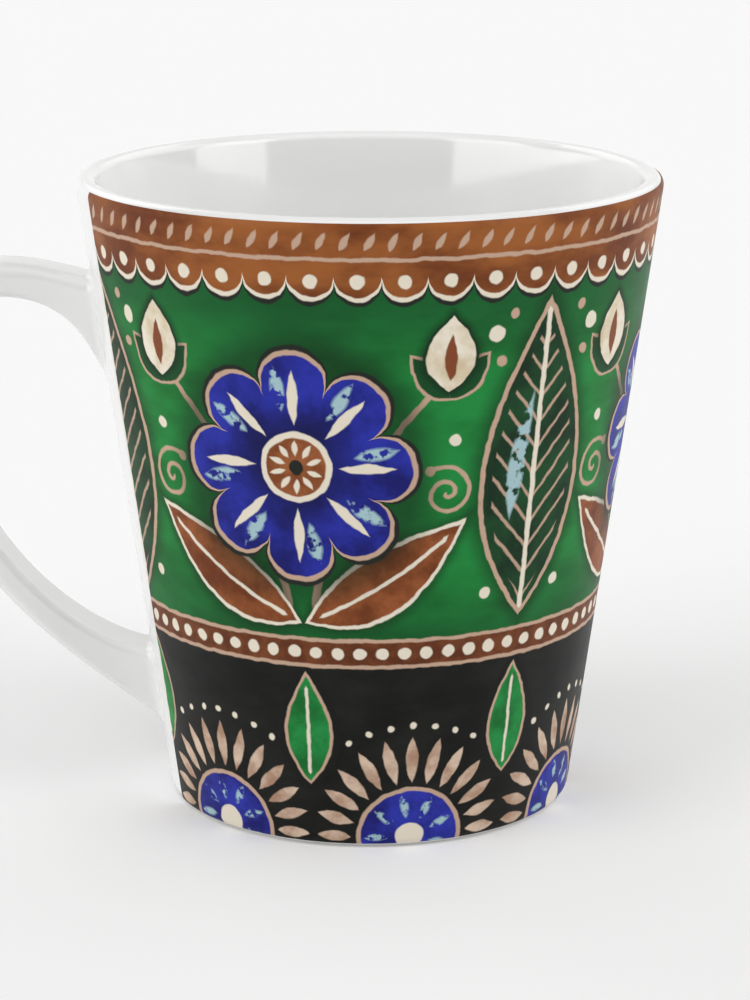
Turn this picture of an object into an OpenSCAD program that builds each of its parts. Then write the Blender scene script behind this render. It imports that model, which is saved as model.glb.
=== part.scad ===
// Tapered mug of fired clay with an ear-shaped strap handle, white glaze and a printed wrap.
// Millimetres. The cup stands on z = 0, its axis is +Z and the handle points to -X.

/* [Cup] */
// Outside diameter of the finished cup at the rim
rim_d = 90; // [84:1:98]
// Outside diameter of the finished side, carried on down to the table
base_d = 63; // [58:1:68]
// Height of the finished cup
cup_h = 98; // [90:1:110]
// Thickness of the clay wall
wall_t = 2.4; // [2:0.1:3.2]
// Thickness of the clay floor
floor_t = 4.4; // [3.4:0.1:6]
// Radius of the clay corner inside, between floor and wall
inside_corner_r = 7; // [4:0.5:10]
// Radius of the clay corner outside, between foot and wall
foot_corner_r = 2; // [1.6:0.1:2.8]

/* [Foot] */
// Width of the bare ring that the cup stands on
foot_ring_w = 3.5; // [2.5:0.1:5]
// Depth of the recess inside the foot ring
recess_depth = 1.8; // [1.2:0.1:2.6]
// Lean of the recess side, outwards per unit of depth
recess_lean = 0.6; // [0.3:0.1:1]

/* [Glaze and print] */
// Thickness of the fired glaze
glaze_t = 0.3; // [0.2:0.05:0.4]
// Thickness of the printed film
film_t = 0.1; // [0.06:0.02:0.16]
// Clearance left between the printed film and the glaze under it
film_gap = 0.04; // [0.02:0.01:0.06]
// Height above the table at which the outside glaze stops
glaze_stop_z = 0.4; // [0.3:0.05:0.6]
// Height above the table at which the print stops
print_stop_z = 0.7; // [0.6:0.05:1.2]
// How far the print climbs the round of the lip, in degrees from level
print_lip_angle = 33; // [10:1:60]
// Plain white angle left open around the handle
print_gap = 44; // [38:1:80]

/* [Handle] */
// Width of the clay strap, across the handle
handle_w = 9.4; // [8:0.2:13]
// Thickness of the clay strap, through the handle
handle_t = 4.6; // [4:0.1:6]
// Drop from the rim to the top of the finished handle
handle_drop = 13.6; // [10:0.2:18]
// How far the finished handle stands out past the rim
handle_out = 26.2; // [22:0.2:32]
// Width of the bend at the top corner of the handle
bend_w = 14; // [12:0.5:17]
// Height of the bend at the top corner of the handle
bend_h = 16.4; // [13:0.2:20]
// Fall of the handle's top from the bend to the wall
arm_fall = 2.5; // [1:0.1:4]
// Height of the upper root on the wall
upper_root_h = 14.1; // [10:0.1:17]
// Height of the lower root on the wall
lower_root_h = 10.8; // [8:0.1:14]
// Height of the lower root's lowest point above the table
lower_root_z = 11.5; // [9:0.1:15]
// Radius of the strap's outer edges
outer_edge_r = 1.9; // [1.2:0.1:2.2]
// Radius of the strap's inner edges
inner_edge_r = 1; // [0.6:0.1:1.6]

/* [Slip joints] */
// Reach of the slip collar, along the handle and along the wall
slip_r = 1.8; // [1:0.1:2.6]

/* [Hidden] */
// Steps of the rounds: full turn, each stretch of a profile's arc, strap edges and slip collars
round_steps = 720;
arc_steps = 6;
edge_steps = 4;
slip_steps = 6;
// Rings of the strap along its arm, its bend and its long lower sweep
arm_rings = 9;
bend_rings = 11;
sweep_rings = 18;
// Slopes of the strap's four edges where they leave the wall
arm_top_slope = 13;
arm_low_slope = 53;
sweep_top_slope = 7;
sweep_low_slope = 40;
// Pull of each curve's ends, as a share of its width or height
arm_top_pull = [0.26, 0.38];
arm_low_pull = [0.22, 0.75];
sweep_top_pull = [0.63, 0.34];
sweep_low_pull = [0.585, 0.33];
round_pull = 4 / 3 * (sqrt(2) - 1);
// How deep the strap and the collars run into the wall before they are cut to its round
root_sink = 1.2;
edge_sink = 0.08;

// Lean of the side, and the coats that lie on its clay
side_lean = (rim_d - base_d) / 2 / cup_h;
taper = atan(side_lean);
coat_t = glaze_t + film_gap + film_t;
// Centres of the lip's round and of the two corners
lip_r = wall_t / 2;
lip_z = cup_h - lip_r - glaze_t;
lip_x = side_r(lip_z, coat_t + lip_r);
foot_x = side_r(foot_corner_r, coat_t + foot_corner_r);
floor_z = recess_depth + floor_t;
inside_z = floor_z + inside_corner_r;
inside_x = side_r(inside_z, coat_t + wall_t + inside_corner_r);
// Edges of the recess, at the table and at its ceiling
recess_mouth_r = foot_x - foot_ring_w;
recess_r = recess_mouth_r - recess_lean * recess_depth;
// Angles round the foot corner at which the glaze and the print stop
glaze_stop_angle = asin((foot_corner_r - glaze_stop_z) / (foot_corner_r + glaze_t));
print_stop_angle = asin((foot_corner_r - print_stop_z) / (foot_corner_r + coat_t));
// Stops round the foot corner: table, glaze, print, side; and round the lip: side, print, top, inside
foot_stops = [-90, -glaze_stop_angle, -print_stop_angle, -taper];
lip_stops = [-taper, print_lip_angle, 90, 180 - taper];
// Clay strap: its top, its outermost point, the start of its bend and its roots
strap_top = cup_h - handle_drop - glaze_t;
strap_out = rim_d / 2 + handle_out - glaze_t;
bend_x = strap_out - bend_w;
bend_z = strap_top - bend_h;
upper_root_top = strap_top - arm_fall;
upper_root_low = upper_root_top - upper_root_h;
lower_root_top = lower_root_z + lower_root_h;

// Radius of the side at a height, at a depth under the finished surface
function side_r(z, depth) = base_d / 2 + side_lean * z - depth / cos(taper);
function on_clay(z) = [side_r(z, coat_t), z];
function polar(angle, length) = length * [cos(angle), sin(angle)];
function arc(centre, r, from, to) =
    [for (i = [0 : arc_steps]) centre + polar(from + (to - from) * i / arc_steps, r)];
function unit(v) = v / norm(v);

// Arc in stretches, from one numbered stop angle to another, so that coats share the clay's points
function stops_arc(centre, r, stops, from, to) =
    let (way = sign(to - from))
    [for (i = [from : way : to - way]) each arc(centre, r, stops[i], stops[i + way])];
function lip_arc(grow, from, to) = stops_arc([lip_x, lip_z], lip_r + grow, lip_stops, from, to);
function foot_arc(grow, from, to) =
    stops_arc([foot_x, foot_corner_r], foot_corner_r + grow, foot_stops, from, to);
function inside_arc(grow, from, to) = arc([inside_x, inside_z], inside_corner_r - grow, from, to);

// Point and direction on a curve of four pulls
function curve(p, t) =
    pow(1 - t, 3) * p[0] + 3 * t * pow(1 - t, 2) * p[1] + 3 * t * t * (1 - t) * p[2] + pow(t, 3) * p[3];
function curve_way(p, t) =
    unit(pow(1 - t, 2) * (p[1] - p[0]) + 2 * t * (1 - t) * (p[2] - p[1]) + t * t * (p[3] - p[2]));

// The strap's arm, bend and sweep for one of its faces, as [distance from the axis, height]
function arm(root, slope, pull, top) =
    let (reach = top[0] - root[0])
    [root, root + polar(slope, pull[0] * reach), top - [pull[1] * reach, 0], top];
function bend(top, side) =
    let (size = side - top)
    [top, top + [round_pull * size[0], 0], side - [0, round_pull * size[1]], side];
function sweep(side, root, slope, pull) =
    let (size = side - root)
    [side, side - [0, pull[0] * size[1]], root + polar(slope, pull[1] * size[0]), root];

outer_top = [bend_x, strap_top];
outer_side = [strap_out, bend_z];
inner_top = outer_top - [0, handle_t];
inner_side = outer_side - [handle_t, 0];
outer_curves = [
    arm(on_clay(upper_root_top), arm_top_slope, arm_top_pull, outer_top),
    bend(outer_top, outer_side),
    sweep(outer_side, on_clay(lower_root_z), sweep_low_slope, sweep_low_pull)
];
inner_curves = [
    arm(on_clay(upper_root_low), arm_low_slope, arm_low_pull, inner_top),
    bend(inner_top, inner_side),
    sweep(inner_side, on_clay(lower_root_top), sweep_top_slope, sweep_top_pull)
];

// Point u of a face, grown along its own normal; u runs from 0 at the upper root to lower_end
function face_point(curves, u, grow) =
    let (
        i = min(floor(u), len(curves) - 1),
        way = curve_way(curves[i], u - i)
    )
    curve(curves[i], u - i) + grow * [-way[1], way[0]];

// Plan of the strap's rounded section: which edge, which side and the angle round it
function edge_plan(edge, side, from) =
    [for (i = [0 : edge_steps]) [edge, side, from + 90 * i / edge_steps]];
section_plan = concat(
    [[1, 0, 0]], edge_plan(1, 1, 0), edge_plan(0, 1, 90),
    [[0, 0, 180]], edge_plan(0, -1, 180), edge_plan(1, -1, 270)
);

// One ring of the strap at u, grown all round
function ring(u, grow) =
    let (
        outer = face_point(outer_curves, u, grow),
        inner = face_point(inner_curves, u, -grow),
        along = unit(outer - inner),
        thick = norm(outer - inner)
    )
    [for (p = section_plan)
        let (
            r = (p[0] == 1 ? outer_edge_r : inner_edge_r) + grow,
            s = (p[0] == 1 ? thick - r : r) + r * cos(p[2]),
            y = p[1] * (handle_w / 2 + grow - r) + r * sin(p[2]),
            at = inner + s * along
        )
        [-at[0], y, at[1]]];

// The same points set on the side at a depth under the finished surface
function on_side(points, depth) =
    [for (p = points) [-sqrt(pow(side_r(p[2], depth), 2) - p[1] * p[1]), p[1], p[2]]];

// Rim of a slip collar: the root's ring spread along the wall
function collar_rim(u) =
    let (
        root = ring(u, 0),
        up = sign(root[0][2] - root[len(root) / 2][2])
    )
    [for (k = [0 : len(root) - 1])
        root[k] + slip_r * [0, sin(section_plan[k][2]), up * cos(section_plan[k][2])]];

// Rings of a collar's hollow round, from the strap to the wall
function collar(strap, root, rim) =
    [for (i = [0 : slip_steps])
        let (t = i / slip_steps)
        pow(1 - t, 2) * strap + 2 * t * (1 - t) * root + t * t * rim];
function reversed(list) = [for (i = [len(list) - 1 : -1 : 0]) list[i]];

// Where the collars leave the strap; a curve leaves its end at three times the length of its pull
lower_end = len(outer_curves);
pull_speed = 3;
upper_u = slip_r / pull_speed / norm(outer_curves[0][1] - outer_curves[0][0]);
lower_u = lower_end - slip_r / pull_speed / norm(outer_curves[2][3] - outer_curves[2][2]);
strap_u = concat(
    [for (i = [0 : arm_rings - 1]) upper_u + (1 - upper_u) * i / arm_rings],
    [for (i = [0 : bend_rings - 1]) 1 + i / bend_rings],
    [for (i = [0 : sweep_rings]) 2 + (lower_u - 2) * i / sweep_rings]
);

function strap_rings(grow) = [for (u = strap_u) ring(u, grow)];
function upper_collar(grow, rim_depth) =
    collar(ring(upper_u, grow), on_side(ring(0, grow), coat_t - grow),
        on_side(collar_rim(0), rim_depth));
function lower_collar(grow, rim_depth) =
    collar(ring(lower_u, grow), on_side(ring(lower_end, grow), coat_t - grow),
        on_side(collar_rim(lower_end), rim_depth));

// A root's ring carried on into the wall
function sunk_ring(strap, root) =
    [for (k = [0 : len(root) - 1]) root[k] + root_sink * unit(root[k] - strap[k])];
upper_sunk = sunk_ring(ring(upper_u, 0), on_side(ring(0, 0), coat_t));
lower_sunk = sunk_ring(ring(lower_u, 0), on_side(ring(lower_end, 0), coat_t));

// Two triangles for each pair of points of two rings, with the diagonal turned or not
function band(a, b, count, turned) =
    [for (k = [0 : count - 1])
        let (n = (k + 1) % count, p = a * count, q = b * count)
        each turned
            ? [[p + k, q + k, p + n], [p + n, q + k, q + n]]
            : [[p + k, q + k, q + n], [p + k, q + n, p + n]]];
function flat(rings) = [for (r = rings) each r];
function mean(points) = [for (p = points) 1 / len(points)] * points;

// Solid through rings, closed by a fan at each end
module capped(rings) {
    count = len(rings[0]);
    last = len(rings) - 1;
    first_mid = len(rings) * count;
    polyhedron(
        points = concat(flat(rings), [mean(rings[0]), mean(rings[last])]),
        faces = concat(
            [for (i = [0 : last - 1]) each band(i, i + 1, count, false)],
            [for (k = [0 : count - 1]) [first_mid, k, (k + 1) % count]],
            [for (k = [0 : count - 1]) [first_mid + 1, last * count + (k + 1) % count, last * count + k]]
        )
    );
}

// Solid through rings that run out along the strap and, from ring number turn, back inside it
module looped(rings, turn) {
    count = len(rings[0]);
    polyhedron(
        points = flat(rings),
        faces = [for (i = [0 : len(rings) - 1]) each band(i, (i + 1) % len(rings), count, i >= turn)]
    );
}

// The clay side as a full cone, to cut the roots to its round
module clay_cone() {
    rotate_extrude($fn = round_steps)
        polygon([[0, 0], on_clay(0), on_clay(cup_h), [0, cup_h]]);
}

// Opening in the outside glaze, straight through the wall, where a collar sits
module collar_opening(rim) {
    translate([-rim_d, 0, 0])
        rotate([90, 0, 90])
            linear_extrude(rim_d)
                polygon([for (p = rim) [p[1], p[2]]]);
}

// Fired clay cup: wall, floor and foot ring
module cup_body() {
    color([0.93, 0.91, 0.87])
        rotate_extrude($fn = round_steps)
            polygon(concat(
                [[0, recess_depth], [recess_r, recess_depth], [recess_mouth_r, 0]],
                foot_arc(0, 0, 3),
                lip_arc(0, 0, 3),
                inside_arc(0, -taper, -90),
                [[0, floor_z]]
            ));
}

// Fired clay strap, its roots cut to the round of the cup
module handle() {
    color([0.93, 0.91, 0.87])
        difference() {
            capped(concat([upper_sunk], strap_rings(0), [lower_sunk]));
            clay_cone();
        }
}

// Fired slip round the upper root
module upper_slip_joint() {
    color([0.9, 0.88, 0.84])
        difference() {
            looped(concat(reversed(upper_collar(0, coat_t + edge_sink)), [upper_sunk]), slip_steps);
            clay_cone();
        }
}

// Fired slip round the lower root
module lower_slip_joint() {
    color([0.9, 0.88, 0.84])
        difference() {
            looped(concat(lower_collar(0, coat_t + edge_sink), [lower_sunk]), slip_steps);
            clay_cone();
        }
}

// White glaze inside, from the floor to the top of the lip
module inside_glaze() {
    color([0.97, 0.97, 0.96])
        rotate_extrude($fn = round_steps)
            polygon(concat(
                lip_arc(glaze_t, 2, 3),
                inside_arc(glaze_t, -taper, -90),
                [[0, floor_z + glaze_t], [0, floor_z]],
                inside_arc(0, -90, -taper),
                lip_arc(0, 3, 2)
            ));
}

// White glaze outside, from the top of the lip to the foot, open at the two roots
module outside_glaze() {
    color([0.97, 0.97, 0.96])
        difference() {
            rotate_extrude($fn = round_steps)
                polygon(concat(
                    lip_arc(glaze_t, 2, 0),
                    foot_arc(glaze_t, 3, 1),
                    foot_arc(0, 1, 3),
                    lip_arc(0, 0, 2)
                ));
            collar_opening(collar_rim(0));
            collar_opening(collar_rim(lower_end));
        }
}

// White glaze over the strap and both slip joints
module handle_glaze() {
    over = concat(
        reversed(upper_collar(glaze_t, coat_t - glaze_t)),
        [for (i = [1 : len(strap_u) - 2]) ring(strap_u[i], glaze_t)],
        lower_collar(glaze_t, coat_t - glaze_t)
    );
    under = concat(
        reversed(upper_collar(0, coat_t + edge_sink)),
        [for (i = [1 : len(strap_u) - 2]) ring(strap_u[i], 0)],
        lower_collar(0, coat_t + edge_sink)
    );
    color([0.97, 0.97, 0.96])
        difference() {
            looped(concat(over, reversed(under)), len(over) - 1);
            clay_cone();
        }
}

// White glaze on the ceiling of the foot recess
module foot_recess_glaze() {
    color([0.97, 0.97, 0.96])
        rotate_extrude($fn = round_steps)
            polygon([
                [0, recess_depth - glaze_t],
                [recess_r + recess_lean * glaze_t, recess_depth - glaze_t],
                [recess_r, recess_depth],
                [0, recess_depth]
            ]);
}

// Printed film on the outside glaze, open at the handle
module printed_wrap() {
    color([0.1, 0.45, 0.2])
        rotate([0, 0, 180 + print_gap / 2])
            rotate_extrude(angle = 360 - print_gap, $fn = round_steps)
                polygon(concat(
                    lip_arc(coat_t, 1, 0),
                    foot_arc(coat_t, 3, 2),
                    foot_arc(glaze_t + film_gap, 2, 3),
                    lip_arc(glaze_t + film_gap, 0, 1)
                ));
}

cup_body();
handle();
upper_slip_joint();
lower_slip_joint();
inside_glaze();
outside_glaze();
handle_glaze();
foot_recess_glaze();
printed_wrap();
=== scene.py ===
# %% [markdown]
# # A tapered clay mug with a strap handle
# The mug is a cup of fired clay with a strap handle luted to its side. White glaze covers the
# inside, the outside and the handle, and a printed film is wrapped round the outer wall. The
# lesson loads the measured solids first, so that every smooth piece made here has a true place
# and size.

# %% Load the measured solids
import math
import bpy
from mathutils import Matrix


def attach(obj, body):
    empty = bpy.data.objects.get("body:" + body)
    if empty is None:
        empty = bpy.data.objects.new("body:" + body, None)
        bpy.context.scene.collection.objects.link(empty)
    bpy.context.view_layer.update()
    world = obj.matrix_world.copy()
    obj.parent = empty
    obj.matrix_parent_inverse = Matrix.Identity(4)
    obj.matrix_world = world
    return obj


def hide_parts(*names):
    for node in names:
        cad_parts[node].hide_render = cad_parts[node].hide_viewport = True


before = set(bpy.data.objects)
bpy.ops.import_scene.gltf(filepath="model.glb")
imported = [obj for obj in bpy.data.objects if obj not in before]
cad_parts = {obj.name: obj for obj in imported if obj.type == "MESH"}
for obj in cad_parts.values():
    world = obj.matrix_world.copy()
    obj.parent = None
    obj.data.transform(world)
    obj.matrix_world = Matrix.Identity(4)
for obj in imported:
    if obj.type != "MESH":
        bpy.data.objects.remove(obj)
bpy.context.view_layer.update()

print("solids:", sorted(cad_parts))

# %% [markdown]
# ## Sizes
# A potter works from a few sizes: the rim, the foot, the height, the wall and the coats on it.
# They are repeated here in millimetres, just as the solids have them. The side is a straight cone,
# so its radius at any height and at any depth under the finished surface is one short formula.

# %% Sizes of the mug in millimetres
MM = 0.001
RIM_D, BASE_D, CUP_H = 90.0, 63.0, 98.0
WALL, FLOOR, INSIDE_CORNER, FOOT_CORNER = 2.4, 4.4, 7.0, 2.0
FOOT_RING, RECESS, RECESS_LEAN = 3.5, 1.8, 0.6
GLAZE, FILM, FILM_GAP = 0.3, 0.1, 0.04
GLAZE_STOP, PRINT_STOP = 0.4, 0.7  # heights above the table
PRINT_LIP, PRINT_GAP = 33.0, 44.0  # degrees round the lip's arc and round the mug
COAT = GLAZE + FILM_GAP + FILM
LEAN = (RIM_D - BASE_D) / 2 / CUP_H
TAPER = math.degrees(math.atan(LEAN))


def side_r(z, depth):
    """Radius of the side at a height, at a depth under the finished surface"""
    return BASE_D / 2 + LEAN * z - depth / math.cos(math.radians(TAPER))


def polar(angle, length):
    """Step of a length at an angle in degrees"""
    return length * math.cos(math.radians(angle)), length * math.sin(math.radians(angle))


print("side leans", round(TAPER, 2), "degrees")

# %% [markdown]
# ## Profiles
# A cup is a profile turned about an axis. The lip is a half round, and the foot and the inside
# have corner rounds, so each profile is a few arcs joined by straight stretches. All coats share
# the arcs' centres, which keeps their thickness the same all the way down.

# %% Arcs of the cup's profile
LIP = (side_r(CUP_H - WALL / 2 - GLAZE, COAT + WALL / 2), CUP_H - WALL / 2 - GLAZE)
FOOT = (side_r(FOOT_CORNER, COAT + FOOT_CORNER), FOOT_CORNER)
FLOOR_Z = RECESS + FLOOR
INSIDE_Z = FLOOR_Z + INSIDE_CORNER
INSIDE = (side_r(INSIDE_Z, COAT + WALL + INSIDE_CORNER), INSIDE_Z)
RECESS_MOUTH = FOOT[0] - FOOT_RING
RECESS_R = RECESS_MOUTH - RECESS_LEAN * RECESS
ARC_STEPS, SIDE_STEPS, FLOOR_STEPS = 14, 40, 10


def arc(centre, radius, start, stop):
    """Points round a centre from one angle to another"""
    points = []
    for i in range(ARC_STEPS + 1):
        x, z = polar(start + (stop - start) * i / ARC_STEPS, radius)
        points.append((centre[0] + x, centre[1] + z))
    return points


def straight(a, b, steps):
    """Points between two ends, so that long faces stay short"""
    return [(a[0] + (b[0] - a[0]) * i / steps, a[1] + (b[1] - a[1]) * i / steps)
            for i in range(1, steps)]


def stop_angle(height, grow):
    """Angle round the foot corner at which a coat stops at a height"""
    return -math.degrees(math.asin((FOOT_CORNER - height) / (FOOT_CORNER + grow)))


def side_path(grow, lip_from, foot_to):
    """Outer profile from the lip down the side and round the foot corner"""
    lip = arc(LIP, WALL / 2 + grow, lip_from, -TAPER)
    foot = arc(FOOT, FOOT_CORNER + grow, -TAPER, foot_to)
    return lip + straight(lip[-1], foot[0], SIDE_STEPS) + foot


def inside_path(grow):
    """Inner profile from the top of the lip down the wall and along the floor to the axis"""
    lip = arc(LIP, WALL / 2 + grow, 90, 180 - TAPER)
    corner = arc(INSIDE, INSIDE_CORNER - grow, -TAPER, -90)
    middle = (0.0, FLOOR_Z + grow)
    wall = lip + straight(lip[-1], corner[0], SIDE_STEPS) + corner
    return wall + straight(corner[-1], middle, FLOOR_STEPS) + [middle]


print("lip centre", [round(v, 2) for v in LIP], "foot centre", [round(v, 2) for v in FOOT])

# %% [markdown]
# ## Turning
# Blender can spin a profile with a Screw modifier, but a mesh written point by point keeps the
# axis clean, closes the coat at its ends and can stop short of a full turn, as the printed film
# does.

# %% Turn a closed coat about the axis
TURN_STEPS, SHARP = 192, 40  # steps of a turn, and the angle from which an edge stays sharp
ON_AXIS = 1e-6


def finish_mesh(name, points, faces):
    """Make a smooth-shaded object whose edges stay sharp only where faces really turn"""
    mesh = bpy.data.meshes.new(name)
    mesh.from_pydata([[c * MM for c in p] for p in points], [], faces)
    mesh.validate()
    mesh.shade_smooth()
    mesh.set_sharp_from_angle(angle=math.radians(SHARP))
    piece = bpy.data.objects.new(name, mesh)
    bpy.context.scene.collection.objects.link(piece)
    print(name, "has", len(mesh.polygons), "faces")
    return piece


def end_caps(rows, last):
    """Faces that close both ends of a part turn, between the upper path and the one under it"""
    faces = []
    for i in (0, last):
        for k in range(len(rows) // 2 - 1):
            loop = [rows[k][i], rows[-1 - k][i], rows[-2 - k][i], rows[k + 1][i]]
            faces.append(loop[::-1] if i else loop)
    return faces


def turned(name, profile, start=0.0, sweep=360.0):
    """Turn a closed profile of (radius, height); a part turn is capped at both ends"""
    area = sum(a[0] * b[1] - b[0] * a[1] for a, b in zip(profile, profile[1:] + profile[:1]))
    if area > 0:
        profile = profile[::-1]  # so that every face looks outwards
    full = sweep >= 360
    turns = TURN_STEPS if full else TURN_STEPS + 1
    points, rows = [], []
    for r, z in profile:
        if r < ON_AXIS:
            rows.append([len(points)] * turns)
            points.append((0.0, 0.0, z))
            continue
        rows.append(list(range(len(points), len(points) + turns)))
        for i in range(turns):
            x, y = polar(start + sweep * i / TURN_STEPS, r)
            points.append((x, y, z))
    faces = []
    for k, row in enumerate(rows):
        below = rows[(k + 1) % len(rows)]
        for i in range(TURN_STEPS):
            j = (i + 1) % turns
            loop = [row[i], below[i], below[j], row[j]]
            face = [v for n, v in enumerate(loop) if v not in loop[:n]]
            if len(face) > 2:
                faces.append(face)
    if not full:
        faces += end_caps(rows, turns - 1)
    return finish_mesh(name, points, faces)


def coat(name, over, under, **turn):
    """Closed coat between an upper path and the path under it"""
    return turned(name, over + under[::-1], **turn)


print("a full turn has", TURN_STEPS, "steps")

# %% [markdown]
# ## Cup of fired clay
# The clay shows only at the foot ring, which was wiped clean of glaze. The measured solid could
# stay there, but a finer turn gives the ring smooth edges. The whole cup is made, so that the
# piece is a real solid. The ring's inner edge is eased and its side leans, as a cast foot does to
# leave its mould.

# %% Make the clay cup
RING_EDGE_W, RING_EDGE_H = 0.35, 0.21
foot_line = arc(FOOT, FOOT_CORNER, -TAPER, -90)
recess_side = [(RECESS_MOUTH + RING_EDGE_W, 0.0), (RECESS_MOUTH, RING_EDGE_H), (RECESS_R, RECESS)]
outer = arc(LIP, WALL / 2, 90, -TAPER)
clay_profile = (outer + straight(outer[-1], foot_line[0], SIDE_STEPS) + foot_line + recess_side
                + straight(recess_side[-1], (0.0, RECESS), FLOOR_STEPS) + [(0.0, RECESS)]
                + inside_path(0)[::-1][:-1])
clay_cup = turned("clay_cup", clay_profile)

# %% [markdown]
# ## Glaze on the cup
# Glaze is poured inside and dipped outside, and the two coats meet on top of the lip. A Solidify
# modifier could grow them from the clay, but paths round the same centres meet exactly at the lip
# and end cleanly at the foot. The coat in the foot recess is a thin disc, with a rim that follows
# the lean of the recess.

# %% Make the three coats of the cup
DISC_STEPS = 24
glaze_stop = stop_angle(GLAZE_STOP, GLAZE)
inside_coat = coat("inside_coat", inside_path(GLAZE), inside_path(0))
outside_coat = coat("outside_coat", side_path(GLAZE, 90, glaze_stop), side_path(0, 90, glaze_stop))


def disc_path(radius, z):
    """Flat path from a radius to the axis"""
    return [(radius * (1 - i / DISC_STEPS), z) for i in range(DISC_STEPS + 1)]


recess_coat = coat("recess_coat", disc_path(RECESS_R, RECESS),
                   disc_path(RECESS_R + RECESS_LEAN * GLAZE, RECESS - GLAZE))

# %% [markdown]
# ## Printed film
# The film is a thin sheet bent round the cone. It leaves a plain white gap at the handle, climbs
# part of the lip's round and runs round the foot corner almost to the table. The print could be
# painted on the outer coat itself, but a sheet of its own has the film's clean edges.

# %% Make the printed film
film_stop = stop_angle(PRINT_STOP, COAT)
printed_film = coat("printed_film", side_path(COAT, PRINT_LIP, film_stop),
                    side_path(GLAZE + FILM_GAP, PRINT_LIP, film_stop),
                    start=180 + PRINT_GAP / 2, sweep=360 - PRINT_GAP)

# %% [markdown]
# ## Strap handle
# The handle is a flat strap bent into an ear. Its outer and inner faces are two chains of three
# curves each: the arm, the bend and the long lower sweep. A curve object with a bevel would give
# the strap one thickness, but the real one widens at both roots, so the two faces are drawn apart.

# %% Curves of the strap
STRAP_W, STRAP_T, HANDLE_DROP, HANDLE_OUT = 9.4, 4.6, 13.6, 26.2
BEND_W, BEND_H, ARM_FALL = 14.0, 16.4, 2.5
UPPER_ROOT, LOWER_ROOT, LOWER_ROOT_Z = 14.1, 10.8, 11.5
OUTER_EDGE, INNER_EDGE, SLIP = 1.9, 1.0, 1.8
ROUND_PULL = 4 / 3 * (math.sqrt(2) - 1)  # makes a quarter round of a curve of four points
STRAP_TOP = CUP_H - HANDLE_DROP - GLAZE
STRAP_OUT = RIM_D / 2 + HANDLE_OUT - GLAZE


def on_clay(z):
    """Point of the clay side at a height"""
    return side_r(z, COAT), z


def plus(a, b):
    """Point moved by a step"""
    return tuple(p + q for p, q in zip(a, b))


def strap_face(top, side, upper, upper_slope, upper_pull, lower, lower_slope, lower_pull):
    """Arm, bend and sweep of one face of the strap, each a curve of four points"""
    reach = top[0] - upper[0]
    wide, high = side[0] - top[0], side[1] - top[1]
    out, drop = side[0] - lower[0], side[1] - lower[1]
    return [
        [upper, plus(upper, polar(upper_slope, upper_pull[0] * reach)),
         plus(top, (-upper_pull[1] * reach, 0)), top],
        [top, plus(top, (ROUND_PULL * wide, 0)), plus(side, (0, -ROUND_PULL * high)), side],
        [side, plus(side, (0, -lower_pull[0] * drop)),
         plus(lower, polar(lower_slope, lower_pull[1] * out)), lower],
    ]


upper_top = STRAP_TOP - ARM_FALL
top_point, side_point = (STRAP_OUT - BEND_W, STRAP_TOP), (STRAP_OUT, STRAP_TOP - BEND_H)
outer_face = strap_face(
    top_point, side_point,
    upper=on_clay(upper_top), upper_slope=13, upper_pull=(0.26, 0.38),
    lower=on_clay(LOWER_ROOT_Z), lower_slope=40, lower_pull=(0.585, 0.33))
inner_face = strap_face(
    plus(top_point, (0, -STRAP_T)), plus(side_point, (-STRAP_T, 0)),
    upper=on_clay(upper_top - UPPER_ROOT), upper_slope=53, upper_pull=(0.22, 0.75),
    lower=on_clay(LOWER_ROOT_Z + LOWER_ROOT), lower_slope=7, lower_pull=(0.63, 0.34))
print("strap reaches", round(STRAP_OUT + GLAZE, 1), "mm from the axis")

# %% [markdown]
# ## Rings of the strap
# A cut across the strap is a flat with rounded edges, softer outside than inside. Such a ring of
# points is set between matching points of the two faces. Points along the flats keep the skin's
# faces short, so that it bends smoothly. A Bevel modifier could round a plain strap, but it would
# make all four edges alike.

# %% Rings of the strap
EDGE_STEPS, FLAT_STEPS = 8, 6
section = []  # outer or inner edge, which side of the strap, and the angle round the edge
for edge, side, start in ((1, 1, 0), (0, 1, 90), (0, -1, 180), (1, -1, 270)):
    section += [(edge, side, start + 90 * i / EDGE_STEPS) for i in range(EDGE_STEPS + 1)]


def on_curve(face, u, grow):
    """Point u of a face, moved along the face's own normal"""
    i = min(int(u), len(face) - 1)
    t = u - i
    p = face[i]
    weights = ((1 - t) ** 3, 3 * t * (1 - t) ** 2, 3 * t * t * (1 - t), t ** 3)
    slopes = ((1 - t) ** 2, 2 * t * (1 - t), t * t)
    at = [sum(w * q[c] for w, q in zip(weights, p)) for c in (0, 1)]
    way = [sum(s * (p[k + 1][c] - p[k][c]) for k, s in enumerate(slopes)) for c in (0, 1)]
    length = math.hypot(*way)
    return at[0] - grow * way[1] / length, at[1] + grow * way[0] / length


def ring(u, grow):
    """Ring of the strap at u: a rounded section with points along its flats as well"""
    outside, inside = on_curve(outer_face, u, grow), on_curve(inner_face, u, -grow)
    span = (outside[0] - inside[0], outside[1] - inside[1])
    thick = math.hypot(*span)
    corners = []
    for edge, side, angle in section:
        r = (OUTER_EDGE if edge else INNER_EDGE) + grow
        c, s = polar(angle, r)
        along = (thick - r if edge else r) + c
        corners.append((along, side * (STRAP_W / 2 + grow - r) + s, angle))
    points = []
    for k, (along, y, angle) in enumerate(corners):
        points.append((along, y, angle))
        if (k + 1) % (EDGE_STEPS + 1) == 0:
            nxt = corners[(k + 1) % len(corners)]
            for i in range(1, FLAT_STEPS):
                t = i / FLAT_STEPS
                points.append((along + (nxt[0] - along) * t, y + (nxt[1] - y) * t, angle))
    return [(-(inside[0] + span[0] * a / thick), y, inside[1] + span[1] * a / thick, angle)
            for a, y, angle in points]


print("rings of", len(ring(1, 0)), "points")

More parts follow.
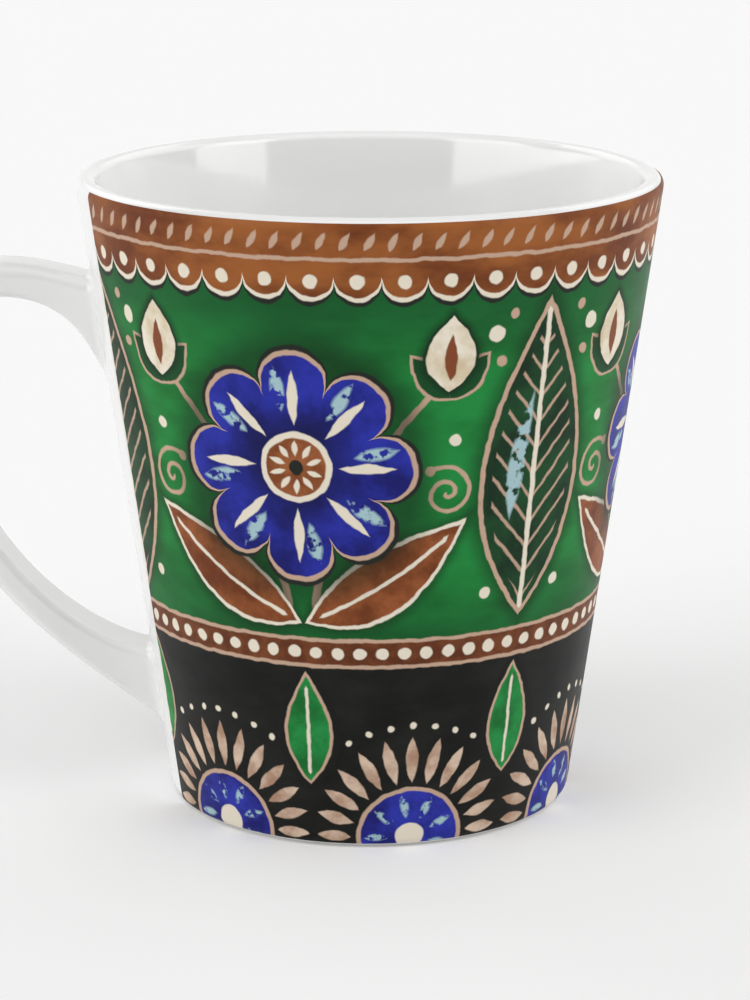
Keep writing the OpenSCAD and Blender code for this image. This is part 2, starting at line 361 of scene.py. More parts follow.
# %% [markdown]
# ## Collars of slip
# The potter sticks the strap on with slip and wipes the seam to a hollow round. A bevel could
# round such a seam, but only in one mesh with the cup. So each ring point runs to the wall along a
# curve that leaves along the strap and lands along the wall, with no crease at either end.

# %% Rings of the collars
COLLAR_STEPS = 12
ARM_STEPS, BEND_STEPS, SWEEP_STEPS = 24, 30, 48


def on_side(points, depth):
    """The same points set on the side at a depth under the finished surface"""
    return [(-math.sqrt(side_r(z, depth) ** 2 - y * y), y, z) for _, y, z in points]


def only(points):
    """Places of a ring without its angles"""
    return [p[:3] for p in points]


def collar(u_strap, u_root, grow, rim_depth):
    """Rings of a collar's hollow round, from the strap to the wall"""
    strap, root = only(ring(u_strap, grow)), ring(u_root, 0)
    up = 1 if root[0][2] > root[len(root) // 2][2] else -1  # 1 where the outer face is above
    rim = []
    for x, y, z, angle in root:
        c, s = polar(angle, SLIP)
        rim.append((x, y + s, z + up * c))
    corner, rim = on_side(only(ring(u_root, grow)), COAT - grow), on_side(rim, rim_depth)
    rings = []
    for i in range(COLLAR_STEPS + 1):
        t = i / COLLAR_STEPS
        rings.append([
            tuple((1 - t) ** 2 * a + 2 * t * (1 - t) * b + t * t * c for a, b, c in zip(*p))
            for p in zip(strap, corner, rim)])
    return rings


END = len(outer_face)
upper_u = SLIP / 3 / math.dist(outer_face[0][0], outer_face[0][1])
lower_u = END - SLIP / 3 / math.dist(outer_face[2][2], outer_face[2][3])
stations = ([upper_u + (1 - upper_u) * i / ARM_STEPS for i in range(1, ARM_STEPS)]
            + [1 + i / BEND_STEPS for i in range(BEND_STEPS)]
            + [2 + (lower_u - 2) * i / SWEEP_STEPS for i in range(SWEEP_STEPS)])
print("rings at", len(stations), "stations between the collars")

# %% [markdown]
# ## Glaze on the handle
# The coat covers the strap and both collars, and ends in a thin rim on the cup's own glaze. Its
# outer skin and the clay's skin under it are joined rim to rim into one closed loop of rings, so
# that the coat is a solid of its own.

# %% Join the rings into the handle's coat
RIM_SINK = 0.02  # the rim lies this deep in the cup's glaze, so that no gap shows


def strap_skin(grow, rim_depth):
    """Rings of one skin of the strap, from the upper collar's rim to the lower one's"""
    return (collar(upper_u, 0, grow, rim_depth)[::-1] + [only(ring(u, grow)) for u in stations]
            + collar(lower_u, END, grow, rim_depth))


def looped(name, rings):
    """Closed skin through rings that run out along the strap and back inside it"""
    count = len(rings[0])
    faces = []
    for i in range(len(rings)):
        a, b = i * count, (i + 1) % len(rings) * count
        for k in range(count):
            n = (k + 1) % count
            faces.append((a + k, a + n, b + n, b + k))
    return finish_mesh(name, [p for r in rings for p in r], faces)


handle_coat = looped("handle_coat", strap_skin(GLAZE, COAT - GLAZE + RIM_SINK)
                     + strap_skin(0, COAT)[::-1])

# %% [markdown]
# ## Shader maths
# A finish is a board of nodes. One small class wraps a socket, so that sums on it read as plain
# Python and add their Math nodes. Every other node comes from one method of the board.

# %% Wires and boards
def by_math(operation, reflected=False):
    """Operator that adds one Math node; a reflected one has the wire as its last value"""
    def operator(wire, *others):
        values = (*others, wire) if reflected else (wire, *others)
        return wire.board.sum(operation, *values)
    return operator


class Wire:
    """A socket whose sums add Math nodes to its board"""

    def __init__(self, board, socket):
        self.board, self.socket = board, socket

    def math(self, operation, *others):
        """Math node of any operation, with this wire as its first value"""
        return self.board.sum(operation, self, *others)

    def __neg__(self):
        return 0 - self

    __add__, __radd__ = by_math("ADD"), by_math("ADD", reflected=True)
    __sub__, __rsub__ = by_math("SUBTRACT"), by_math("SUBTRACT", reflected=True)
    __mul__, __rmul__ = by_math("MULTIPLY"), by_math("MULTIPLY", reflected=True)
    __truediv__, __rtruediv__ = by_math("DIVIDE"), by_math("DIVIDE", reflected=True)
    __pow__, __rpow__ = by_math("POWER"), by_math("POWER", reflected=True)
    __gt__, __lt__ = by_math("GREATER_THAN"), by_math("LESS_THAN")
    __abs__ = by_math("ABSOLUTE")


class Board:
    """A node tree with one method that makes any node"""

    def __init__(self, tree):
        self.tree = tree
        tree.nodes.clear()

    def node(self, kind, settings=None, sockets=None, out=0):
        """New node with its settings, then its values or links; out names the outputs wanted"""
        made = self.tree.nodes.new(kind)
        for name, value in (settings or {}).items():
            setattr(made, name, value)
        for name, value in (sockets or {}).items():
            if isinstance(value, Wire):
                self.tree.links.new(value.socket, made.inputs[name])
            else:
                made.inputs[name].default_value = value
        if isinstance(out, tuple):
            return [Wire(self, made.outputs[o]) for o in out]
        return Wire(self, made.outputs[out]) if made.outputs else made

    def sum(self, operation, *values):
        """Math node of an operation on wires and numbers"""
        return self.node("ShaderNodeMath", {"operation": operation}, dict(enumerate(values)))


def colour(code):
    """Colour for a socket from a screen code such as 1a7a35, by the sRGB rule"""
    parts = [int(code[i:i + 2], 16) / 255 for i in (0, 2, 4)]
    light = [c / 12.92 if c <= 0.04045 else ((c + 0.055) / 1.055) ** 2.4 for c in parts]
    return (*light, 1.0)


print("mid grey on screen is", round(colour("808080")[0], 3), "in light")

# %% [markdown]
# ## White glaze
# Fired glaze is a smooth glass over white clay: a plain white with a clear shine. One white with
# one gloss would do from afar, but real glaze isn't perfectly even. So faint waves lift its
# surface, and its shine and tone drift a little over the wall.

# %% Finish of the white glaze
WAVES = {"strength": 0.03, "distance": 0.0002}
WAVE_SCALE = 260


def finish_named(name):
    """New material with an empty board"""
    material = bpy.data.materials.new(name)
    material.use_nodes = True
    return material, Board(material.node_tree)


def place_of(board):
    """Place on the piece, in metres"""
    return board.node("ShaderNodeTexCoord", out="Object")


def noise(board, place, scale, detail=2.0, rough=0.5):
    """Soft noise from 0 to 1 at a scale in waves per metre"""
    return board.node("ShaderNodeTexNoise", {"noise_dimensions": "3D"},
                      {"Vector": place, "Scale": scale, "Detail": detail, "Roughness": rough})


def mixed(board, share, a, b):
    """Colour between two colours"""
    return board.node("ShaderNodeMix", {"data_type": "RGBA"}, {0: share, 6: a, 7: b}, out=2)


def lifted(board, height, strength, distance):
    """Normal of a surface that a height lifts"""
    return board.node("ShaderNodeBump", None,
                      {"Strength": strength, "Distance": distance, "Height": height})


def surface(board, finish, **sockets):
    """Principled shader on a finish's output; a space in a socket's name is written _"""
    named = {name.replace("_", " "): value for name, value in sockets.items()}
    shader = board.node("ShaderNodeBsdfPrincipled", None, named)
    board.node("ShaderNodeOutputMaterial", None, {"Surface": shader})
    print(finish.name, "has", len(board.tree.nodes), "nodes")


glaze_finish, glaze_board = finish_named("white_glaze")
glaze_place = place_of(glaze_board)
surface(glaze_board, glaze_finish,
        Base_Color=mixed(glaze_board, noise(glaze_board, glaze_place, scale=45),
                         colour("f3f3f2"), colour("f7f7f6")),
        Roughness=0.07 + 0.04 * noise(glaze_board, glaze_place, scale=90),
        Normal=lifted(glaze_board, noise(glaze_board, glaze_place, WAVE_SCALE), **WAVES),
        IOR=1.8)

# %% [markdown]
# ## Bare clay
# The wiped foot ring is dry fired clay: off-white, without shine, with fine grain and a few
# specks. The grain both lifts the surface and roughens it, so that the ring looks dry from every
# side. Specks could be modelled, but at this size a cut through noise gives the same look.

# %% Finish of the bare clay
SPECKS_FROM, SPECK_DEPTH = 0.72, 0.4
clay_finish, clay_board = finish_named("bare_clay")
clay_place = place_of(clay_board)
grain = noise(clay_board, clay_place, scale=2600, detail=4)
specks = noise(clay_board, clay_place, scale=900) > SPECKS_FROM
clay_tone = mixed(clay_board, noise(clay_board, clay_place, scale=160),
                  colour("d8d2c6"), colour("e6e1d7"))
surface(clay_board, clay_finish,
        Base_Color=mixed(clay_board, specks * SPECK_DEPTH, clay_tone, colour("b3a48e")),
        Roughness=0.75 + 0.2 * grain,
        Normal=lifted(clay_board, grain, strength=0.35, distance=0.0001))

# %% [markdown]
# ## Painted forms
# A picture file could be laid on the film, but forms worked out from distances stay crisp at any
# size. Every form is the distance to its edge, which is below nothing inside the form. A cover
# turns it into a share of paint with a crisp but soft edge. Leaves and seeds have one swell of
# their half width along their length, and petals and scallops are half rounds.

# %% Distances to painted forms
CRISP = 0.22  # width of a painted edge in millimetres
LEAF_FOOT, LEAF_TIP = 1.2, 0.8  # a leaf is fuller near its foot
PAST_TIP = 2.0
HAIR = 1.0001  # a hair over 1, so that rounding never leaves a root of less than nothing


def fade(value, start, stop):
    """Smooth step from 0 to 1"""
    return value.board.node("ShaderNodeMapRange", {"interpolation_type": "SMOOTHSTEP"},
                            {0: value, 1: start, 2: stop, 3: 0.0, 4: 1.0})


def cover(form, soft=CRISP):
    """Share of paint from the distance to a form's edge"""
    return form.board.node("ShaderNodeMath", {"operation": "MULTIPLY_ADD", "use_clamp": True},
                           {0: form, 1: -1 / soft, 2: 0.5})


def far(x, y):
    """Straight distance"""
    return (x * x + y * y).math("SQRT")


def stroke(across, half):
    """Distance to a straight stroke of a half width, from the steps across it"""
    return abs(across) - half


def kept_in(form, edge, inset=0.0):
    """What of a form lies inside another one's edge, or an inset further in"""
    return form.math("MAXIMUM", edge + inset if inset else edge)


def swell(share):
    """Half width at a share of the length: 1 in the middle, below nothing past the ends"""
    return 4 * share * (1 - share)


def half_round(square):
    """Height of a half round, from the square of the share of its half width"""
    return (HAIR - square).math("SQRT")


def leaf(x, y, angle, length, width, bend=0.0):
    """Distance to a leaf's edge, with the steps along and across it"""
    c, s = polar(angle, 1.0)
    along, across = x * c + y * s, y * c - x * s
    if bend:
        across = across - bend * along * along
    share = (along / length).math("MINIMUM", PAST_TIP)
    half = width * swell(share) * (LEAF_FOOT - (LEAF_FOOT - LEAF_TIP) * share)
    return abs(across) - half, along, across


def rays(angle, count, shift=0.5):
    """0 on each of a number of rays and 1 halfway between them"""
    return 2 * abs((angle * (count / (2 * math.pi)) + shift).math("FRACT") - 0.5)


def seeds(radius, ray, count, near, long, width):
    """Distance to a ring of seeds that point outwards"""
    return ray * radius * (math.pi / count) - width * swell((radius - near) / long)


print("swell at a quarter and at half of the length:", swell(0.25), swell(0.5))

# %% [markdown]
# ## Laying out the print
# The film is measured like a sheet of paper. It could be unwrapped, but places worked out in
# millimetres need no seam. The turn round the mug is cut into three equal cells. Leaves, buds and
# curls are mirrored about the middle of their cell, so one half of that drawing makes the whole
# wrap, and rows of beads, fans and scallops only repeat. The cone is wider at the top, so steps
# across are stretched by the wall's radius at each height. A little noise moves the lines, as an
# unsteady brush would.

# %% Places on the film, in millimetres
CELLS = 3
MEAN_R = (RIM_D + BASE_D) / 4
CELL = math.radians(360 - PRINT_GAP) * MEAN_R / CELLS
SHAKE, SHAKE_SCALE = 0.7, 420.0
SHADE, SHADE_DEPTH = "07230f", 0.7
MOTTLE, TEAR = (0.32, 0.68), (0.42, 0.52)  # where noise turns from one paint to the other


class Sheet:
    """The film as a sheet: across from its cell's middle, up from the table, and paint so far"""

    def __init__(self, board):
        self.board, self.place = board, place_of(board)
        x, y, z = board.node("ShaderNodeSeparateXYZ", None, {0: self.place}, out=(0, 1, 2))
        shake = board.node("ShaderNodeTexNoise", None,
                           {"Vector": self.place, "Scale": SHAKE_SCALE, "Detail": 2.0}, out=1)
        dx, dy = board.node("ShaderNodeSeparateXYZ", None, {0: shake}, out=(0, 1))
        self.up = z / MM + SHAKE * (dy - 0.5)
        turn = y.math("ARCTAN2", x) + math.radians(180 - PRINT_GAP / 2)
        self.along = turn * (CELLS / math.radians(360 - PRINT_GAP)) + (SHAKE / CELL) * (dx - 0.5)
        self.stretch = (BASE_D / 2 + LEAN * self.up) / MEAN_R
        self.across = (self.along.math("FRACT") - 0.5) * CELL
        self.half = abs(self.across)
        self.paint = None

    def at(self, across, up):
        """Steps across and up from a spot of the half cell"""
        return (self.half - across) * self.stretch, self.up - up

    def row(self, count):
        """Steps across from the nearest of a number of evenly spaced middles in each cell"""
        return ((self.along * count).math("FRACT") - 0.5) * (CELL / count) * self.stretch

    def lay(self, share, tone):
        """Lay a share of a tone, or of a colour's code, over what is painted already"""
        tone = colour(tone) if isinstance(tone, str) else tone
        self.paint = mixed(self.board, share, self.paint, tone)

    def fill(self, form, tone, grow=0.0, soft=CRISP, share=None):
        """Fill a form with a tone; grow widens it all round, and share thins the paint"""
        area = cover(form - grow if grow else form, soft)
        self.lay(area if share is None else area * share, tone)

    def shade(self, form, reach):
        """Soft dark shade round a form, so that it stands off the ground"""
        self.lay(fade(form, reach, 0.0) * SHADE_DEPTH, SHADE)

    def tone(self, low, high, scale, squash=1.0):
        """Two colours mottled like uneven paint; squash draws the mottle out along the rows"""
        spot = self.place
        if squash != 1.0:
            spot = self.board.node("ShaderNodeVectorMath", {"operation": "MULTIPLY"},
                                   {0: self.place, 1: (1.0, 1.0, squash)})
        share = fade(noise(self.board, spot, scale, detail=4, rough=0.6), *MOTTLE)
        return mixed(self.board, share, colour(low), colour(high))

    def torn(self, scale):
        """Broken paint, as a dry brush leaves it"""
        return fade(noise(self.board, self.place, scale, detail=3), *TEAR)

    def run(self, step):
        """Do one step of the painting and say how far the print has come"""
        step(self)
        print(step.__name__, "brings the print to", len(self.board.tree.nodes), "nodes")


print_finish, print_board = finish_named("printed")
sheet = Sheet(print_board)
print(CELLS, "cells, each", round(CELL, 1), "mm wide halfway up")

# %% [markdown]
# ## Ground colours
# A painter lays the grounds first and every later form over them, and the print is built in the
# same order. Lacquer green fills the main field and darkens towards its edges, and black fills the
# lower band. Both are mottled, because a single flat tone would look like plastic.

# %% Paint the grounds
INK, TAN, CREAM, RED, NIGHT, PALE = "20251f", "c9a992", "eee4d1", "86492a", "131512", "a9c9cf"
FIELD_UP, FIELD_HALF, BAND_TOP = 59, 27, 30


def paint_grounds(sheet):
    """Green field with darker edges, and the black band under it"""
    sheet.paint = sheet.tone("136a2b", "1f8d40", scale=45, squash=2.5)
    rim = abs(sheet.up - FIELD_UP) / FIELD_HALF
    sheet.lay(fade(rim, start=0.45, stop=1.1) * 0.75, "0c4320")
    sheet.fill(sheet.up - BAND_TOP, sheet.tone("0b0d0a", "1c1d1a", scale=90, squash=2.0))


sheet.run(paint_grounds)

# %% [markdown]
# ## Fans in the lower band
# Blue half discs stand on the foot's edge, each with a fringe of tan seeds and an arc of dots, and
# small green leaves part them. Distance and angle from a fan's middle place all its seeds and dots
# at once, so a whole ring costs no more nodes than a single seed.

# %% Paint the fans
FAN_UP, FAN_DISC, FAN_EYE, FAN_LINE = 2, 7.4, 2.2, 0.7
FAN_SEEDS, FAN_LIGHTS, FAN_DOTS, DOT_ARC, DOT_R = 24, 9, 34, 18.2, 0.5
SMALL_LEAF_UP = 11
LINE = 0.5  # outline of a small form


def paint_fans(sheet):
    """Half discs with seeds and dots, and the small leaves between them"""
    x, y = sheet.row(2), sheet.up - FAN_UP
    radius, angle = far(x, y), x.math("ARCTAN2", y)
    length = 5.0 + 2.4 * y / radius  # shorter at the sides, where two fans are close
    fringe = seeds(radius, rays(angle, FAN_SEEDS), FAN_SEEDS, near=8.9, long=length, width=0.92)
    sheet.fill(fringe, sheet.tone("b08b73", "e0c8b2", scale=220))
    sheet.fill(radius, TAN, grow=FAN_DISC + FAN_LINE)
    sheet.fill(radius, sheet.tone("191b6e", "2f38ae", scale=170), grow=FAN_DISC)
    between = rays(angle, FAN_LIGHTS, shift=0.8)
    light = seeds(radius, between, FAN_LIGHTS, near=3.2, long=3.6, width=0.6)
    sheet.fill(light, PALE, soft=0.4, share=sheet.torn(scale=700))
    sheet.fill(radius, CREAM, grow=FAN_EYE)
    dots = far(radius - DOT_ARC, rays(angle, FAN_DOTS) * radius * (math.pi / FAN_DOTS))
    sheet.fill(dots, CREAM, grow=DOT_R)
    x = CELL / 4 * sheet.stretch - abs(x)
    edge, _, across = leaf(x, sheet.up - SMALL_LEAF_UP, angle=90, length=17, width=3.2)
    sheet.fill(edge, NIGHT, grow=1.7)  # hides the dots that the leaf would cut in half
    sheet.fill(edge, TAN, grow=LINE)
    sheet.fill(edge, sheet.tone("14692c", "249347", scale=200))
    sheet.fill(kept_in(stroke(across, half=0.25), edge, inset=0.9), CREAM)


sheet.run(paint_fans)

# %% [markdown]
# ## Stems and buds
# A stem swings out from the foot of each flower to a cream bud in a green cup. The stem could be
# an arc, but a power curve is easier to steer: how far it has swung depends only on the height.

# %% Paint the stems and buds
STEM_UP, STEM_H, STEM_FROM, STEM_SWING, STEM_CURVE = 37, 38, 2, 19, 1.8
STEM_LEAN = 0.85  # a leaning line is this much thinner than its width across
BUD_AT = (21, 72.4)


def paint_buds(sheet):
    """Stem, green cup and cream bud with a red stripe"""
    rise = ((sheet.up - STEM_UP) / STEM_H).math("MAXIMUM", 0.0)
    off = sheet.half - STEM_FROM - STEM_SWING * rise ** STEM_CURVE
    stem = abs(off) * sheet.stretch * STEM_LEAN - LINE
    ends = stroke(sheet.up - (STEM_UP + STEM_H / 2), half=STEM_H / 2)
    sheet.fill(kept_in(stem, ends), TAN)
    x, y = sheet.at(*BUD_AT)
    cup, _, _ = leaf(abs(x), y + 1, angle=48, length=8.5, width=1.9)
    sheet.fill(cup, TAN, grow=LINE)
    sheet.fill(cup, "0f4a22")
    edge, _, _ = leaf(x, y, angle=90, length=11.4, width=3.7)
    sheet.shade(edge, reach=2.2)
    sheet.fill(edge, "0c3419", grow=LINE)
    sheet.fill(edge, sheet.tone("d9c7a4", "f4ebd9", scale=200))
    stripe, _, _ = leaf(x, y - 1.6, angle=90, length=7.0, width=1.0)
    sheet.fill(stripe, RED)


sheet.run(paint_buds)

# %% [markdown]
# ## Leaves
# A tall dark leaf stands where two cells meet, with a tan outline, a midrib, slanting veins and a
# pale glint on one side. A pair of red clay leaves spreads from the foot of each flower. The veins
# are one line that repeats along the midrib and slants with the distance from it.

# %% Paint the leaves
LEAF_UP = 37
VEIN_SLANT, VEIN_STEP, VEIN_GAP = 1.1, 3.9, 2.6  # the gap is the step seen across the veins


def paint_tall_leaf(sheet):
    """Dark leaf with its veins, on the line between two cells"""
    x, y = sheet.at(CELL / 2, LEAF_UP)
    edge, along, across = leaf(x, y, angle=90, length=47, width=8.4)
    sheet.shade(edge, reach=4.5)
    sheet.fill(edge, TAN, grow=0.85)
    sheet.fill(edge, sheet.tone("0d2a17", "174a26", scale=120))
    step = ((along - VEIN_SLANT * abs(across)) / VEIN_STEP).math("FRACT")
    vein = abs(step - 0.5) * VEIN_GAP - 0.24
    sheet.fill(kept_in(vein, edge, inset=1.3), TAN, share=0.9)
    sheet.fill(kept_in(stroke(across, half=0.42), edge), CREAM)
    glint, _, _ = leaf(x + 3.6, y - 15, angle=90, length=19, width=1.4, bend=-0.006)
    one_side = sheet.across > 0
    sheet.lay(cover(glint, soft=0.5) * one_side * sheet.torn(scale=500), PALE)


def paint_low_leaves(sheet):
    """Pair of red clay leaves with a cream outline"""
    x, y = sheet.at(1.0, LEAF_UP)
    edge, _, across = leaf(x, y, angle=24, length=27, width=4.3, bend=0.006)
    sheet.shade(edge, reach=3.0)
    sheet.fill(edge, CREAM, grow=0.6)
    sheet.fill(edge, sheet.tone("6d3618", "a05c33", scale=160))
    sheet.fill(kept_in(stroke(across, half=0.3), edge, inset=1.2), CREAM)


sheet.run(paint_tall_leaf)
sheet.run(paint_low_leaves)

# %% [markdown]
# ## Curls and dots
# A curl fills the space beside the flower, and dots fill the corners. The curl is a spiral whose
# radius grows by one pitch in each turn, so a point's distance to the line is worked out from its
# radius and angle alone.

# %% Paint the curls and dots
CURL_AT, CURL_PITCH, CURL_TURNS = (21.3, 57), 2.3, 1.85
curl_end = polar(360 * (CURL_TURNS - 0.5), CURL_PITCH * CURL_TURNS)
DOTS = (  # place across, place up, radius and colour
    (CURL_AT[0] + curl_end[0], CURL_AT[1] + curl_end[1], 0.75, TAN),
    (27.2, 80.6, 1.25, CREAM),
    (29.6, 83.4, 0.8, TAN),
    (28.2, 76.4, 0.8, TAN),
    (22.2, 65.0, 0.9, CREAM),
    (28.4, 40.6, 0.9, CREAM),
)


def paint_curls(sheet):
    """Spiral line with a dot at its end, and loose dots"""
    x, y = sheet.at(*CURL_AT)
    radius, angle = far(x, y), y.math("ARCTAN2", x) / (2 * math.pi)
    coil = radius / CURL_PITCH - angle
    line = abs(coil.math("FRACT") - 0.5) * CURL_PITCH - 0.33
    past = coil.math("FLOOR") + angle + 0.5 - CURL_TURNS
    sheet.fill(kept_in(line, past * (2 * math.pi * CURL_PITCH * CURL_TURNS)), TAN)
    for across, up, size, tone in DOTS:
        sheet.fill(far(*sheet.at(across, up)), tone, grow=size)


sheet.run(paint_curls)

# %% [markdown]
# ## Flowers
# The blue flower has eight round petals round a red clay eye, each petal with a cream seed and a
# torn pale light. Petals could be drawn one by one, but a ring of half rounds gives all eight at
# once: its radius rises and falls once for each petal.

# %% Paint the flowers
FLOWER_UP, FLOWER_R, PETALS, PETAL_DIP = 61, 17, 8, 0.34
EYE_RIM, EYE, PUPIL, EYE_SEEDS = 5.4, 4.5, 1.1, 10


def paint_flower(sheet):
    """Petals, their seeds and lights, and the eye"""
    x, y = sheet.across * sheet.stretch, sheet.up - FLOWER_UP
    radius, angle = far(x, y), x.math("ARCTAN2", y)
    ray = rays(angle, PETALS)
    edge = radius - FLOWER_R * (1 - PETAL_DIP + PETAL_DIP * half_round(ray * ray))
    sheet.shade(radius - FLOWER_R, reach=6.0)
    sheet.fill(edge, INK, grow=1.5)
    sheet.fill(edge, TAN, grow=0.75)
    sheet.fill(edge, sheet.tone("17196a", "2b34aa", scale=130))
    sheet.lay(fade(radius, start=11.5, stop=5) * 0.7 * cover(edge), "0d0f3f")
    sheet.fill(seeds(radius, ray, PETALS, near=6.4, long=8.2, width=0.75), CREAM)
    between = rays(angle, PETALS, shift=0.74)
    light = seeds(radius, between, PETALS, near=8.8, long=6.6, width=1.0)
    sheet.fill(light, PALE, soft=0.5, share=sheet.torn(scale=600))
    sheet.fill(radius, CREAM, grow=EYE_RIM)
    sheet.fill(radius, sheet.tone("7a3f1f", "a8643a", scale=200), grow=EYE)
    star = seeds(radius, rays(angle, EYE_SEEDS), EYE_SEEDS, near=1.7, long=2.4, width=0.42)
    sheet.fill(star, CREAM)
    sheet.fill(radius, INK, grow=PUPIL)


sheet.run(paint_flower)

# %% [markdown]
# ## Beads and scallops
# A band of beads divides the lower band from the field. A red clay band with a scalloped edge
# closes the field under the lip, with a dot in each scallop and slanting strokes above a line.
# Both are laid last, so that they cover the ends of leaves and stems.

# %% Paint the bands
BEADS, BEADS_UP, BEAD_R = 20, 32, 0.95
SCALLOPS, SCALLOP_UP, SCALLOP_DROP, SCALLOP_LINE = 12, 89.2, 3.2, 0.7
DOT_UP, LINE_UP, SLANT_UP, SLANT_OFF = 89, 92.2, 93.5, 0.75


def paint_beads(sheet):
    """Brown band between tan lines, with cream beads"""
    y = sheet.up - BEADS_UP
    sheet.fill(stroke(y, half=2.4), TAN)
    sheet.fill(stroke(y, half=1.8), sheet.tone("5d2f18", "7c4526", scale=300))
    sheet.fill(far(sheet.row(BEADS), y), CREAM, grow=BEAD_R)


def paint_scallops(sheet):
    """Red clay band with a scalloped edge, dots, a line and slanting strokes"""
    x = sheet.row(SCALLOPS)
    share = x * (2 * SCALLOPS / CELL) / sheet.stretch
    edge = SCALLOP_UP - SCALLOP_DROP * half_round(share ** 2) - sheet.up
    sheet.fill(edge, INK, grow=SCALLOP_LINE)
    sheet.fill(edge, CREAM)
    sheet.fill(edge + SCALLOP_LINE, sheet.tone("6b3417", "a2602f", scale=60, squash=2.0))
    sheet.fill(far(x, sheet.up - DOT_UP), CREAM, grow=1.0)
    sheet.fill(stroke(sheet.up - LINE_UP, half=0.3), TAN)
    x, y = sheet.row(2 * SCALLOPS) + SLANT_OFF, sheet.up - SLANT_UP
    slant, _, _ = leaf(x, y, angle=60, length=3.0, width=0.5)
    sheet.fill(slant, TAN)


sheet.run(paint_beads)
sheet.run(paint_scallops)

# %% [markdown]
# ## Surface of the film
# The printed film has a satin surface that follows the waves of the glaze under it. It could have
# the glaze's own shine, but the real film shines far less, so its colours stay deep.

# %% Finish of the printed film
film_waves = noise(print_board, sheet.place, WAVE_SCALE)
surface(print_board, print_finish,
        Base_Color=sheet.paint,
        Roughness=0.4 + 0.1 * film_waves,
        Normal=lifted(print_board, film_waves, **WAVES),
        Specular_IOR_Level=0.15)

# %% [markdown]
# ## Dress the pieces
# Each piece takes its finish, rides on the mug's one body and stands for the solid that it covers.
# The clay strap and the two slip collars lie wholly under glaze, so their solids stay as they are
# and only take the clay's finish.

# %% Dress the pieces
for piece, node, slot, finish in (
    (clay_cup, "cup_body", "clay", clay_finish),
    (inside_coat, "inside_glaze", "glaze", glaze_finish),
    (outside_coat, "outside_glaze", "glaze", glaze_finish),
    (recess_coat, "foot_recess_glaze", "glaze", glaze_finish),
    (handle_coat, "handle_glaze", "glaze", glaze_finish),
    (printed_film, "printed_wrap", "print", print_finish),
):
    piece.data.materials.append(finish)
    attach(piece, "root")
    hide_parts(node)
    print(piece.name, "stands for", node)
for node in ("handle", "upper_slip_joint", "lower_slip_joint"):
    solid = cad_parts[node]
    solid.data.materials.clear()
    solid.data.materials.append(clay_finish)
    print(node, "keeps its solid")

# %% [markdown]
# ## Floor
# The mug stands on a pale matt floor that runs to the horizon, so floor and backdrop are one. The
# eye, and shine that mirrors the floor, get a little extra light from it, which keeps the floor
# pale without more light on the mug.

# %% Floor
STUDIO_TONE, STUDIO_LIFT, STUDIO_HALF = 0.8, 0.174, 20000.0


def rays_of(board, kind):
    """1 for rays of a kind, such as Camera or Glossy"""
    return board.node("ShaderNodeLightPath", out="Is " + kind + " Ray")


floor_finish, floor_board = finish_named("pale_floor")
seen = rays_of(floor_board, "Camera") + rays_of(floor_board, "Glossy")
seen = seen + rays_of(floor_board, "Transmission")
matt = floor_board.node("ShaderNodeBsdfDiffuse", None,
                        {"Color": (STUDIO_TONE, STUDIO_TONE, STUDIO_TONE, 1)})
lift = floor_board.node("ShaderNodeEmission", None,
                        {"Color": (1, 1, 1, 1), "Strength": STUDIO_LIFT})
shown = floor_board.node("ShaderNodeAddShader", None, {0: matt, 1: lift})
both = floor_board.node("ShaderNodeMixShader", None, {0: seen > 0.5, 1: matt, 2: shown})
floor_board.node("ShaderNodeOutputMaterial", None, {"Surface": both})
corners = [(x * STUDIO_HALF, y * STUDIO_HALF, 0) for x, y in ((-1, -1), (1, -1), (1, 1), (-1, 1))]
floor = finish_mesh("floor", corners, [(0, 1, 2, 3)])
floor.data.materials.append(floor_finish)

# %% [markdown]
# ## Soft sky
# The light is a soft sky with wide panels at both sides and a glow high in front, so the glaze is
# a little greyer in front than at its sides. Area lamps would do the same, but panels in the sky
# have no place, so their light is even all over the mug. The eye doesn't see the panels: it sees a
# plain pale backdrop, and so does the shine that looks past the mug at a low height.

# %% Soft sky with light panels
SKY, SKY_BEHIND, GLOW, BACKDROP = 0.24, 0.21, 1.05, 0.945
PANEL_SOFT = 3.0
PANELS = (  # left, right, low and high edge in degrees from the front and the horizon, brightness
    (-119, -36, -3, 14, 2.1),
    (-80, -36, 14, 48, 2.2),
    (-166, -119, 14, 48, 1.3),
    (45, 83, -3, 14, 2.0),
    (45, 83, 14, 48, 2.5),
    (83, 166, 14, 48, 1.0),
)


def within(value, low, high):
    """1 between two limits, with soft edges inside them"""
    return fade(value, low, low + PANEL_SOFT) * (1 - fade(value, high - PANEL_SOFT, high))


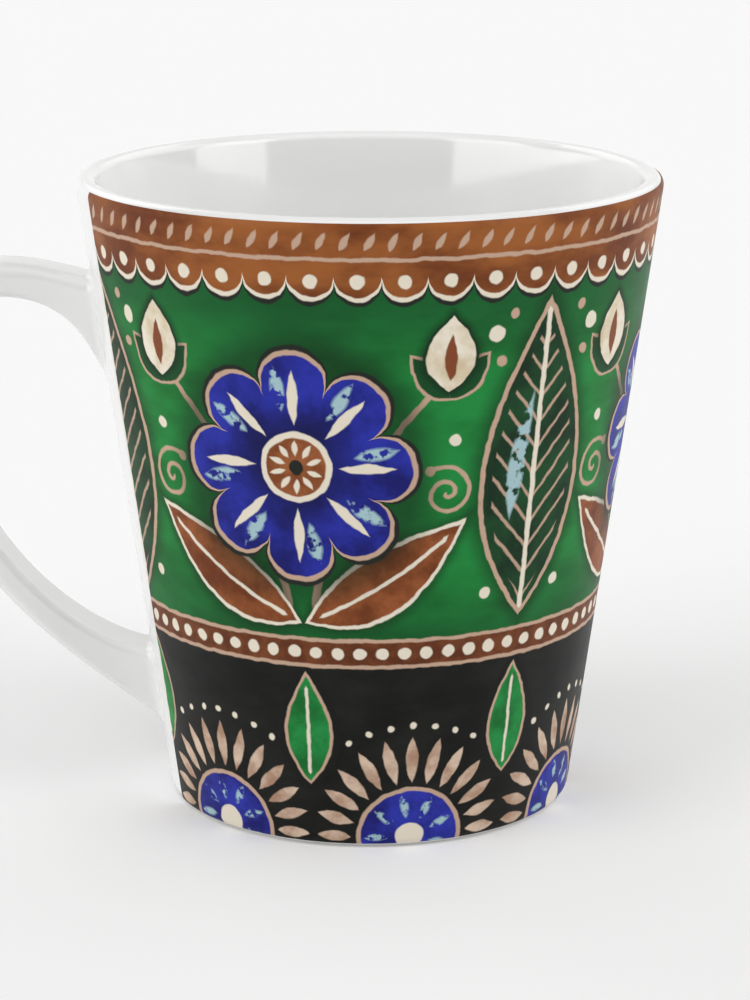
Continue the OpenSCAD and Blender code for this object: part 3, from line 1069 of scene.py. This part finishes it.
world = bpy.data.worlds.new("soft_sky")
world.use_nodes = True
sky_board = Board(world.node_tree)
way = sky_board.node("ShaderNodeTexCoord", out="Generated")
x, y, z = sky_board.node("ShaderNodeSeparateXYZ", None, {0: way}, out=(0, 1, 2))
turn = x.math("ARCTAN2", -y) * (180 / math.pi)
rise = z.math("ARCSINE") * (180 / math.pi)
behind = fade(abs(turn), start=95, stop=150)
in_front = 1 - fade(abs(turn), start=60, stop=120)
level = SKY + SKY_BEHIND * behind + GLOW * fade(rise, start=25, stop=80) * in_front
for left, right, low, high, bright in PANELS:
    foot = low - PANEL_SOFT  # a panel fades in where the one under it fades out
    level = level + bright * (within(turn, left, right) * within(rise, foot, high))
seen = rays_of(sky_board, "Camera") + rays_of(sky_board, "Transmission")
seen = seen + rays_of(sky_board, "Glossy") * behind * (1 - fade(rise, start=0, stop=40))
lit = sky_board.node("ShaderNodeBackground", None, {"Color": level})
plain = sky_board.node("ShaderNodeBackground", None, {"Color": (BACKDROP, BACKDROP, BACKDROP, 1)})
both = sky_board.node("ShaderNodeMixShader", None, {0: seen, 1: lit, 2: plain})
sky_board.node("ShaderNodeOutputWorld", None, {"Surface": both})
bpy.context.scene.world = world
print("sky with", len(PANELS), "panels")

# %% [markdown]
# ## Camera
# The camera stands about half a metre away, a little above the rim, looking slightly down. A long
# lens keeps the sides of the mug nearly parallel, as in a catalogue picture. A short one, closer
# to the mug, would make its rim look too wide.

# %% Camera
LENS, SENSOR = 114.05, 36.0
CAMERA_AT, CAMERA_TILT = (0.00085, -0.4803, 0.1718), 75.33
lens = bpy.data.cameras.new("camera")
lens.lens, lens.sensor_width = LENS, SENSOR
lens.clip_start, lens.clip_end = 0.01, 50.0
camera = bpy.data.objects.new("camera", lens)
camera.location = CAMERA_AT
camera.rotation_euler = (math.radians(CAMERA_TILT), 0.0, 0.0)
bpy.context.scene.collection.objects.link(camera)
bpy.context.scene.camera = camera
bpy.context.scene.view_settings.view_transform = "Standard"
print("camera", round(math.hypot(*CAMERA_AT), 2), "m from the mug's foot")
